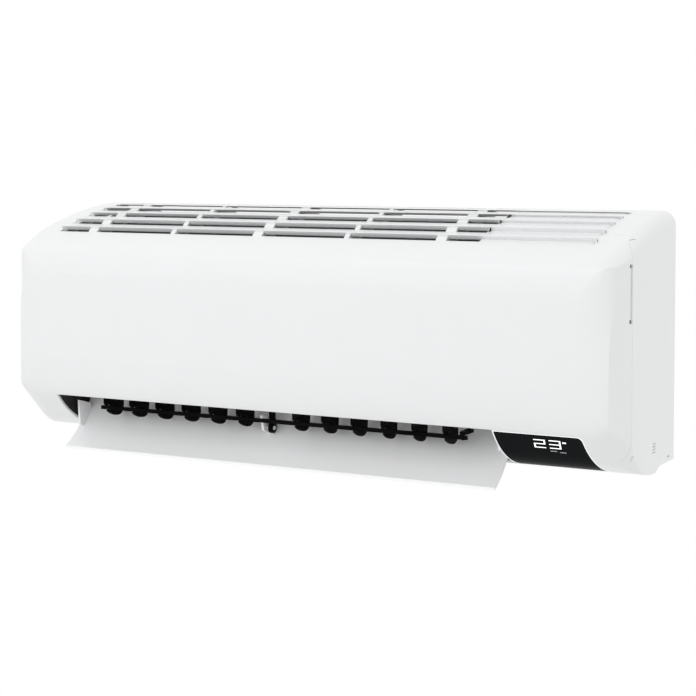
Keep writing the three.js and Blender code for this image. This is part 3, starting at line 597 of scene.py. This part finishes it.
# Openings in the right side as (depth, height above the base, length, how tall):
# one by the seam, one low at the rear, and the room sensor's slots.
SENSOR_SLOTS = 4
SENSOR_PITCH = 3.3
SIDE_SLOTS = [(SEAM_DEPTH - 9, 24, 3, 8), (22, 10, 8, 2)]
SIDE_SLOTS += [(79, 24 + SENSOR_PITCH * i, 12, 1.2) for i in range(SENSOR_SLOTS)]


def main_housing(shell):
    """The rest of the casing, with the opening for the cartridge and the closed steps."""
    front = GRILLE_FRONT + OVERLAP
    rear = row_depth(ROWS - 1)
    piece = cut(shell, front_region(SEAM))
    piece.name = "housing_shell"
    cut(piece, outlet_region(SEAM))
    cut(piece, top_cut(GRILLE_LEFT, GRILLE_OPEN_RIGHT, front, rear - SLOT))
    cut(piece, top_cut(GRILLE_OPEN_RIGHT - OVERLAP, GRILLE_RIGHT, front, rear))
    join(piece, faded_prism(closed_section(1, ROWS - 1, -SEAM, OVERLAP),
                            GRILLE_OPEN_RIGHT, GRILLE_RIGHT + OVERLAP, "right"))
    for depth, z, length, tall in SIDE_SLOTS:
        cut(piece, block(HALF - WALL - 2 * OVERLAP, HALF + 2 * OVERLAP,
                         -depth - length / 2, -depth + length / 2, z, z + tall))
    return piece


# ---- Display ---------------------------------------------------------------
DISPLAY_THICK = 2.6
RIM = 1.3                    # width of the white edge around the window
GLASS_SINK = 0.35            # the window lies this far behind its rim
DIGIT_PROUD = 0.12           # how far the digits stand out of the window
MARK_PROUD = DIGIT_PROUD / 2
MARK_SUNK = 0.3              # and how far all marks reach into it

# Digits seen from the front. Places along X are measured from the first one's left.
DIGITS_LEFT = DISPLAY_RIGHT - 60.9
DIGIT_LOW, DIGIT_HIGH = 38.9, 50.0
DIGIT_WIDTH = 13.6
DIGIT_SLANT = 0.2
STROKE = 1.15                # height of a level stroke
POST = STROKE * 1.5          # width of an upright one
DIGITS = [(0, "abged"), (18, "abgcd")]
DEGREE = (35.7, 39.8, 46.9, 48.6)
MARKS = [(17.1, 24.8, 34.7, 35.9), (28, 35.2, 33.6, 34.8)]


def display_zone(edge):
    """The room that the display takes up, its edges moved inwards."""
    return keep(outlet_region(-edge),
                block(OUTLET_RIGHT + SEAM + edge, WIDTH, -DEPTH, -OUTLET_REAR,
                      -BEYOND, OUTLET_LIP - edge))


def display_rim():
    """The white rim around the window."""
    rim = cut(casing(0), casing(DISPLAY_THICK))
    rim.name = "display_rim"
    keep(rim, display_zone(0))
    return cut(rim, display_zone(RIM))


def display_window():
    """The black window inside the rim."""
    glass = cut(casing(GLASS_SINK), casing(DISPLAY_THICK))
    glass.name = "display_window"
    return keep(glass, display_zone(RIM))


def digit_strokes(left, letters):
    """The seven-segment strokes of a digit as slanted outlines of (x, z)."""
    right = left + DIGIT_WIDTH
    middle = (DIGIT_LOW + DIGIT_HIGH) / 2
    shapes = {"a": rectangle(left, right, DIGIT_HIGH - STROKE, DIGIT_HIGH),
              "b": rectangle(right - POST, right, middle, DIGIT_HIGH),
              "c": rectangle(right - POST, right, DIGIT_LOW, middle),
              "d": rectangle(left, right, DIGIT_LOW, DIGIT_LOW + STROKE),
              "e": rectangle(left, left + POST, DIGIT_LOW, middle),
              "g": rectangle(left, right, middle - STROKE / 2, middle + STROKE / 2)}
    return [[(x + (z - DIGIT_LOW) * DIGIT_SLANT, z) for x, z in shapes[letter]]
            for letter in letters]


def mark(x0, x1, z0, z1):
    return rectangle(DIGITS_LEFT + x0, DIGITS_LEFT + x1, z0, z1)


def on_display(outlines, name, proud):
    """Thin marks that follow the window's surface."""
    regions = [prism("y", outline, -DEPTH, -OUTLET_REAR) for outline in outlines]
    for region in regions[1:]:
        join(regions[0], region)
    marks = cut(casing(GLASS_SINK - proud), casing(GLASS_SINK + MARK_SUNK))
    marks.name = name
    return keep(marks, regions[0])


def display_digits():
    outlines = []
    for x, letters in DIGITS:
        outlines += digit_strokes(DIGITS_LEFT + x, letters)
    return on_display(outlines + [mark(*DEGREE)], "display_digits", DIGIT_PROUD)


def display_marks():
    return on_display([mark(*sides) for sides in MARKS], "display_marks", MARK_PROUD)


# ---- Flap ------------------------------------------------------------------
FLAP_PIVOT = (-(DEPTH - 62), 29)
FLAP_OPEN = 79               # degrees from closed, as it stands
FLAP_THICK = 2.6
FLAP_GAP = 1
# Lugs as (y, z) from the pivot, with the flap shut.
END_LUG = [(14, 17), (12, -9), (3, -11.5), (-19, 1), (-17, 9)]
SHORT_LUG = [(14, 17), (12, -9), (3, -11.5), (-7, -7.5), (-4, 8.5)]
LUG = 3
LUG_INSET = 4                # from the flap's end to the lug
CENTRE_LUG_X = VANE_CENTRE - 16
HANGER_END = VANE_CENTRE - 4  # right face of the hanger's ring
PIN = 2.5                    # radius
DUCT_END = 3                 # thickness of the outlet's end walls
PIN_SHORT = 0.5              # the pins end this far inside them


def flap_blade():
    """The flap, built shut and then turned to where it stands at rest."""
    left = OUTLET_LEFT + FLAP_GAP
    right = OUTLET_RIGHT - FLAP_GAP
    piece = cut(casing(0), casing(FLAP_THICK))
    piece.name = "flap_blade"
    keep(piece, block(left, right, -DEPTH, -OUTLET_REAR - FLAP_GAP, -BEYOND,
                      OUTLET_LIP - FLAP_GAP))
    y, z = FLAP_PIVOT
    lugs = [(END_LUG, left + LUG_INSET), (SHORT_LUG, CENTRE_LUG_X),
            (SHORT_LUG, right - LUG_INSET - LUG)]
    for outline, x in lugs:
        join(piece, prism("x", [(y + u, z + v) for u, v in outline], x, x + LUG))
    pins = [(left - FLAP_GAP - DUCT_END + PIN_SHORT, left + LUG_INSET + OVERLAP),
            (CENTRE_LUG_X + OVERLAP, HANGER_END + OVERLAP),
            (right - LUG_INSET - OVERLAP, right + FLAP_GAP + DUCT_END - PIN_SHORT)]
    for low, high in pins:
        join(piece, rod("x", y, z, PIN, low, high, sides=24))
    pivot = Vector(place((0, y, z)))
    turn = Matrix.Rotation(math.radians(FLAP_OPEN), 4, "X")
    piece.data.transform(Matrix.Translation(pivot) @ turn @ Matrix.Translation(-pivot))
    return piece


# ---- Outlet ----------------------------------------------------------------
SEAL = 0.5                   # from the wall to the seal's inner face
SEAL_OFF = 0.05              # between the seal and the wall behind it
SEAL_TOP = 66
SEAL_REAR = OUTLET_REAR + 4
SEAL_HOLE = PIN + 0.6


def end_seal(side):
    """The dark foam on the inner face of the outlet's end wall."""
    wall = OUTLET_LEFT if side < 0 else OUTLET_RIGHT
    x0, x1 = sorted((wall - side * SEAL_OFF, wall - side * SEAL))
    plate = block(x0, x1, -DEPTH, -SEAL_REAR, -BEYOND, SEAL_TOP,
                  "outlet_seal_left" if side < 0 else "outlet_seal_right")
    keep(plate, casing(DISPLAY_THICK + FIT))
    return cut(plate, rod("x", *FLAP_PIVOT, SEAL_HOLE, wall - BEYOND, wall + BEYOND,
                          sides=20))


VANE_PITCH = 39.6
VANES_PER_BANK = 6
VANE_PIVOT_DEPTH = DEPTH - 57
VANE_THICK = 1.6
VANE_TOP = 62
VANE_FRONT = VANE_PIVOT_DEPTH + 26
VANE_REAR = VANE_PIVOT_DEPTH - 17
VANE_SADDLE = (5, 4)         # half width and depth of the dip under the pivot
VANE_CHIN = 5                # the lower lobe starts this far behind the front
VANE_LOBE = [(-VANE_FRONT + 5.5, 37.5), (-VANE_FRONT + 10, 33), (-VANE_REAR - 22, 28.6),
             (-VANE_REAR - 12, 28.6)]
VANE_HEEL = [(-VANE_REAR - 12, 28.6), (-VANE_REAR - 5, 28.6), (-VANE_REAR - 1, 32),
             (-VANE_REAR, 42)]
LOBE_STEPS = 14
VANE_PIN = 2                 # radius of the pivot
VANE_PIN_ROOT = 8
RAIL_GAP = 0.6               # between the vane and the rail over it
RAIL_HEIGHT = 4.6
BAR_DEPTH = VANE_PIVOT_DEPTH + 18
BAR_Z = 41
BAR = 4.5
BAR_PIN = 1.1                # radius of the pin through the bar
BAR_PIN_ROOTS = (0.5, 3)     # how far it reaches into the vane below and above
BAR_SLOT = 4.5               # notch behind the bar's centre line
BAR_PLAY = 0.9               # between the bar and the notch, above and below
NOTCH_FLARE = 3              # slope at the notch's upper front corner


def vane(x, name):
    """An air vane: a thin plate with a notch for the link bar and a round lobe."""
    pivot = -VANE_PIVOT_DEPTH
    half_dip, dip = VANE_SADDLE
    notch_rear = -BAR_DEPTH + BAR_SLOT
    notch_top = BAR_Z + BAR / 2 + BAR_PLAY
    notch_low = BAR_Z - BAR / 2 - BAR_PLAY
    outline = [(-VANE_REAR, VANE_TOP), (pivot + half_dip, VANE_TOP), (pivot, VANE_TOP - dip),
               (pivot - half_dip, VANE_TOP), (-VANE_FRONT, VANE_TOP),
               (-VANE_FRONT, notch_top + NOTCH_FLARE), (-VANE_FRONT + NOTCH_FLARE, notch_top),
               (notch_rear, notch_top), (notch_rear, notch_low),
               (-VANE_FRONT + VANE_CHIN, notch_low)]
    outline += cubic(VANE_LOBE, LOBE_STEPS) + cubic(VANE_HEEL, LOBE_STEPS)
    piece = prism("x", outline, x - VANE_THICK / 2, x + VANE_THICK / 2, name)
    join(piece, rod("z", x, pivot, VANE_PIN, VANE_TOP - VANE_PIN_ROOT,
                    VANE_TOP + RAIL_GAP + RAIL_HEIGHT, sides=16))
    below, above = BAR_PIN_ROOTS
    return join(piece, rod("z", x, -BAR_DEPTH, BAR_PIN, notch_low - below,
                           notch_top + above, sides=12))


# ---- Camera ----------------------------------------------------------------
# In metres and degrees, as it stood for the photograph.
CAMERA_AT = (0.9587, -1.8945, 0.2103)
CAMERA_YAW = 27.46
CAMERA_PITCH = -3.03
LENS = 84.9
SENSOR = 36
FRAME_SHIFT = -0.1464


def make_camera():
    data = bpy.data.cameras.new("photo_camera")
    data.lens = LENS
    data.sensor_width = SENSOR
    data.shift_y = FRAME_SHIFT
    camera = bpy.data.objects.new("photo_camera", data)
    camera.location = CAMERA_AT
    camera.rotation_euler = (
        math.radians(90 + CAMERA_PITCH), 0, math.radians(CAMERA_YAW))
    bpy.context.scene.collection.objects.link(camera)
    bpy.context.scene.camera = camera


# ---- Light -----------------------------------------------------------------
# World light by direction, from straight down to straight up.
SKY = [(0.0, (0.1, 0.1, 0.1)), (0.45, (0.3, 0.3, 0.3)), (0.52, (0.88, 0.885, 0.89)),
       (1.0, (0.9, 0.9, 0.9))]
# Name, place, target and size in metres, and power in watts.
LAMPS = [("key", (-0.6, -2.2, 1.9), (0, -0.1, 0), (2.0, 1.2), 9),
         ("front_fill", (-0.8, -2.4, 0.5), (0, -0.15, -0.1), (2.0, 0.8), 5.5),
         ("side_fill", (3.0, -1.4, 1.2), (0.4, -0.1, 0), (1.5, 1.5), 5)]
FLOOR_DROP = 1.6
FLOOR_SIZE = 30
FLOOR_COLOUR = (0.85, 0.85, 0.85, 1)


def white_for_seeing_rays(tree, lit, white, output):
    """Camera, glossy and transmission rays see the white shader, others the lit one."""
    path = tree.nodes.new("ShaderNodeLightPath")
    first = tree.nodes.new("ShaderNodeMath")
    second = tree.nodes.new("ShaderNodeMath")
    first.operation = second.operation = "MAXIMUM"
    mix = tree.nodes.new("ShaderNodeMixShader")
    link = tree.links.new
    link(path.outputs["Is Camera Ray"], first.inputs[0])
    link(path.outputs["Is Glossy Ray"], first.inputs[1])
    link(first.outputs[0], second.inputs[0])
    link(path.outputs["Is Transmission Ray"], second.inputs[1])
    link(second.outputs[0], mix.inputs[0])
    link(lit.outputs[0], mix.inputs[1])
    link(white.outputs[0], mix.inputs[2])
    link(mix.outputs[0], output.inputs[0])


def make_world():
    world = bpy.data.worlds.new("studio")
    bpy.context.scene.world = world
    world.use_nodes = True
    tree = world.node_tree
    tree.nodes.clear()
    coords = tree.nodes.new("ShaderNodeTexCoord")
    split = tree.nodes.new("ShaderNodeSeparateXYZ")
    ramp = tree.nodes.new("ShaderNodeValToRGB")
    stops = ramp.color_ramp.elements
    for stop, (position, colour) in zip(stops, (SKY[0], SKY[-1])):
        stop.position, stop.color = position, (*colour, 1)
    for position, colour in SKY[1:-1]:
        stops.new(position).color = (*colour, 1)
    remap = tree.nodes.new("ShaderNodeMapRange")
    remap.inputs["From Min"].default_value = -1
    light = tree.nodes.new("ShaderNodeBackground")
    white = tree.nodes.new("ShaderNodeBackground")
    white.inputs["Color"].default_value = (1, 1, 1, 1)
    output = tree.nodes.new("ShaderNodeOutputWorld")
    link = tree.links.new
    link(coords.outputs["Generated"], split.inputs[0])
    link(split.outputs["Z"], remap.inputs["Value"])
    link(remap.outputs[0], ramp.inputs[0])
    link(ramp.outputs[0], light.inputs["Color"])
    white_for_seeing_rays(tree, light, white, output)


def make_floor():
    """A level floor far below the unit, white to the camera."""
    half = FLOOR_SIZE / 2
    corners = [(x, y, -FLOOR_DROP) for x, y in rectangle(-half, half, -half, half)]
    mesh = bpy.data.meshes.new("studio_floor")
    mesh.from_pydata(corners, [], [(0, 1, 2, 3)])
    floor = bpy.data.objects.new("studio_floor", mesh)
    bpy.context.scene.collection.objects.link(floor)
    material = bpy.data.materials.new("floor_white")
    material.use_nodes = True
    tree = material.node_tree
    tree.nodes.clear()
    diffuse = tree.nodes.new("ShaderNodeBsdfDiffuse")
    diffuse.inputs["Color"].default_value = FLOOR_COLOUR
    glow = tree.nodes.new("ShaderNodeEmission")
    output = tree.nodes.new("ShaderNodeOutputMaterial")
    white_for_seeing_rays(tree, diffuse, glow, output)
    mesh.materials.append(material)


def add_lamp(name, at, target, size, power):
    data = bpy.data.lights.new(name, "AREA")
    data.shape = "RECTANGLE"
    data.size, data.size_y = size
    data.energy = power
    lamp = bpy.data.objects.new(name, data)
    lamp.location = at
    aim = Vector(target) - Vector(at)
    lamp.rotation_euler = aim.to_track_quat("-Z", "Y").to_euler()
    bpy.context.scene.collection.objects.link(lamp)


# ---- Materials -------------------------------------------------------------
FINE_DETAIL = 3
BROAD_DETAIL = 4
SHADE_STOPS = (0.3, 0.7)     # noise values of the darker and the full colour
SHADE_DROP = 0.1             # what the tint also takes off the darkest colours
ROUGH_SPREAD = (0.88, 1.12)
BUMP_HEIGHT = 0.0004         # metres


def moulded(name, colour, roughness, tint=0.015, grain=0.05, scale=900.0, metallic=0.0,
            ior=1.45, stretch=(1, 1, 1), blotch=18.0):
    """A surface whose shade, roughness and height vary with a noise."""
    material = bpy.data.materials.new(name)
    material.use_nodes = True
    tree = material.node_tree
    shader = tree.nodes["Principled BSDF"]
    shader.inputs["Metallic"].default_value = metallic
    shader.inputs["IOR"].default_value = ior
    coords = tree.nodes.new("ShaderNodeTexCoord")
    mapping = tree.nodes.new("ShaderNodeMapping")
    mapping.inputs["Scale"].default_value = stretch
    fine = tree.nodes.new("ShaderNodeTexNoise")
    fine.inputs["Scale"].default_value = scale
    fine.inputs["Detail"].default_value = FINE_DETAIL
    broad = tree.nodes.new("ShaderNodeTexNoise")
    broad.inputs["Scale"].default_value = blotch
    broad.inputs["Detail"].default_value = BROAD_DETAIL
    shade = tree.nodes.new("ShaderNodeValToRGB")
    darker = [max(channel * (1 - tint) - tint * SHADE_DROP, 0) for channel in colour]
    stops = shade.color_ramp.elements
    for stop, position, channels in zip(stops, SHADE_STOPS, (darker, colour)):
        stop.position, stop.color = position, (*channels, 1)
    rough = tree.nodes.new("ShaderNodeMapRange")
    rough.inputs["To Min"].default_value = roughness * ROUGH_SPREAD[0]
    rough.inputs["To Max"].default_value = roughness * ROUGH_SPREAD[1]
    bump = tree.nodes.new("ShaderNodeBump")
    bump.inputs["Strength"].default_value = grain
    bump.inputs["Distance"].default_value = BUMP_HEIGHT
    link = tree.links.new
    link(coords.outputs["Object"], mapping.inputs["Vector"])
    link(mapping.outputs[0], fine.inputs["Vector"])
    link(mapping.outputs[0], broad.inputs["Vector"])
    link(broad.outputs["Fac"], shade.inputs["Fac"])
    link(shade.outputs[0], shader.inputs["Base Color"])
    link(fine.outputs["Fac"], rough.inputs["Value"])
    link(rough.outputs[0], shader.inputs["Roughness"])
    link(fine.outputs["Fac"], bump.inputs["Height"])
    link(bump.outputs[0], shader.inputs["Normal"])
    return material


LINE_BUMP = 0.5              # strength of the relief between the plates


def lined(name, colour, dark, pitch, axis, **look):
    """Fine parallel plates, such as fins, a pitch in metres apart along one axis, with painted
    shade in the gaps between them.
    """
    material = moulded(name, colour, **look)
    tree = material.node_tree
    shader = tree.nodes["Principled BSDF"]
    coords = tree.nodes.new("ShaderNodeTexCoord")
    split = tree.nodes.new("ShaderNodeSeparateXYZ")
    wave = tree.nodes.new("ShaderNodeMath")
    wave.operation = "PINGPONG"
    wave.inputs[1].default_value = pitch / 2
    to_one = tree.nodes.new("ShaderNodeMapRange")
    to_one.inputs["From Max"].default_value = pitch / 2
    mix = tree.nodes.new("ShaderNodeMix")
    mix.data_type = "RGBA"
    # painted shade: the dark colour fills the gaps between the plates, where shade falls
    mix.inputs["A"].default_value = (*dark, 1)
    bump = next(node for node in tree.nodes if node.type == "BUMP")
    bump.inputs["Strength"].default_value = LINE_BUMP
    link = tree.links.new
    link(coords.outputs["Object"], split.inputs[0])
    link(split.outputs[axis], wave.inputs[0])
    link(wave.outputs[0], to_one.inputs["Value"])
    link(to_one.outputs[0], mix.inputs["Factor"])
    link(shader.inputs["Base Color"].links[0].from_socket, mix.inputs["B"])
    link(mix.outputs["Result"], shader.inputs["Base Color"])
    link(to_one.outputs[0], bump.inputs["Height"])
    return material


def glowing(name, colour, strength):
    """A moulded surface that gives off light of its colour."""
    material = moulded(name, colour, roughness=0.3)
    shader = material.node_tree.nodes["Principled BSDF"]
    shader.inputs["Emission Color"].default_value = (*colour, 1)
    shader.inputs["Emission Strength"].default_value = strength
    return material


# An index of refraction near 1 keeps the white room's reflection off black pieces.
LOOKS = {
    "white_casing": dict(colour=(0.86, 0.865, 0.868), roughness=0.32, tint=0.008),
    # painted light: the flap is the casing's white plastic, given a lighter colour to make up
    # for the light that the casing above keeps off its inner face
    "flap_white": dict(colour=(0.95, 0.953, 0.957), roughness=0.34, tint=0.008),
    "display_black": dict(colour=(0.013, 0.014, 0.0145), roughness=0.2, grain=0.01,
                          ior=1.015),
    "vane_black": dict(colour=(0.005, 0.005, 0.006), roughness=0.35, tint=0.2, grain=0.15,
                       ior=1.12),
    "chassis_grey": dict(colour=(0.66, 0.67, 0.675), roughness=0.5, tint=0.03, grain=0.15),
    "fan_dark": dict(colour=(0.035, 0.036, 0.038), roughness=0.5, tint=0.1, grain=0.2),
    "rubber_black": dict(colour=(0.018, 0.018, 0.018), roughness=0.75, tint=0.15, grain=0.3),
    "steel": dict(colour=(0.55, 0.56, 0.57), roughness=0.38, tint=0.05, grain=0.12,
                  scale=300, blotch=60, metallic=1),
    "shaft_steel": dict(colour=(0.6, 0.6, 0.61), roughness=0.22, tint=0.06, grain=0.1,
                        scale=500, stretch=(0.05, 1, 1), metallic=1),
    "copper": dict(colour=(0.72, 0.36, 0.21), roughness=0.25, tint=0.14, blotch=40,
                   metallic=1),
    "brass": dict(colour=(0.72, 0.55, 0.25), roughness=0.28, tint=0.08, blotch=40,
                  metallic=1),
    "motor_metal": dict(colour=(0.58, 0.59, 0.6), roughness=0.35, tint=0.08, metallic=1),
    "board_green": dict(colour=(0.03, 0.14, 0.06), roughness=0.42, tint=0.3, grain=0.2,
                        blotch=220),
    "filter_net": dict(colour=(0.12, 0.125, 0.13), roughness=0.7, tint=0.2, grain=0.3),
}
SLOTS = {name: moulded(name, **look) for name, look in LOOKS.items()}
# the fins' dark stripes are painted shade between the plates
SLOTS["fins"] = lined("fins", (0.62, 0.66, 0.70), dark=(0.2, 0.22, 0.24), pitch=0.0014,
                      axis="X", roughness=0.35, grain=0.1, metallic=1)
# painted light: the rim is white plastic made to glow a little, so that its thin edge stands
# out brighter than the lamps make it
RIM_PAINTED_GLOW = glowing("rim_painted_glow", (0.93, 0.935, 0.94), 0.22)
LIT_WHITE = glowing("lit_white", (0.9, 0.92, 0.93), 0.9)
MARK_GREY = glowing("mark_grey", (0.3, 0.31, 0.31), 0.15)

# Widths of the rounded edges in millimetres.
EDGE = 0.4
VANE_EDGE = 0.3
SLAT_EDGE = 0.25
DISPLAY_EDGE = 0.2
EDGE_ANGLE = math.radians(32)
EDGE_SEGMENTS = 2

replaced_nodes = []


def round_edges(piece, width, harden):
    bevel = piece.modifiers.new("edge", "BEVEL")
    bevel.width = width * MM
    bevel.segments = EDGE_SEGMENTS
    bevel.limit_method = "ANGLE"
    bevel.angle_limit = EDGE_ANGLE
    bevel.harden_normals = harden


def dress(piece, slot, body, *replaced, width=EDGE, material=None):
    """Gives a visual piece its material, edges, body and the nodes that it replaces."""
    piece.data.materials.clear()
    piece.data.materials.append(material or SLOTS[slot])
    for polygon in piece.data.polygons:
        polygon.use_smooth = True
    piece.data.set_sharp_from_angle(angle=EDGE_ANGLE)
    if width:
        round_edges(piece, width, harden=True)
    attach(piece, body)
    if replaced:
        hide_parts(*replaced)
        replaced_nodes.extend(replaced)


def dress_vanes():
    """Two banks of vanes, one on either side of the hanger."""
    places = [k for k in range(-VANES_PER_BANK, VANES_PER_BANK + 1) if k]
    for number, k in enumerate(places, 1):
        node_name = f"vane_{number}"
        blade = vane(VANE_CENTRE + k * VANE_PITCH, node_name + "_blade")
        dress(blade, "vane_black", node_name, node_name, width=VANE_EDGE)


def dress_cad_nodes():
    """Materials and rounded edges for the CAD nodes that stay in view."""
    for row in frame["record"]["subparts"]:
        if row["node"] in replaced_nodes:
            continue
        node = frame["nodes"][row["node"]]
        node.data.materials.clear()
        node.data.materials.append(SLOTS[row["material_slot"]])
        round_edges(node, EDGE, harden=False)


make_camera()
make_world()
make_floor()
for lamp in LAMPS:
    add_lamp(*lamp)

whole_shell = cut(casing(0), casing(WALL))
dress(front_panel(copy(whole_shell)), "white_casing", "panel", "front_panel")
dress(main_housing(whole_shell), "white_casing", "casing", "main_housing")
dress(filter_frame(), "white_casing", "filter", "filter_frame", width=SLAT_EDGE)
# the rim wears the glowing white: painted light along the display's edge
dress(display_rim(), "white_casing", "casing", width=DISPLAY_EDGE, material=RIM_PAINTED_GLOW)
dress(display_window(), "display_black", "casing", "display_cover", width=DISPLAY_EDGE)
dress(display_digits(), "display_black", "casing", width=0, material=LIT_WHITE)
dress(display_marks(), "display_black", "casing", width=0, material=MARK_GREY)
# the flap wears the lighter white: painted light on its shaded inner face
dress(flap_blade(), "flap_white", "flap", "flap")
for side in (-1, 1):
    dress(end_seal(side), "rubber_black", "casing", width=0)
dress_vanes()
dress_cad_nodes()

bpy.context.scene.view_settings.view_transform = "Standard"
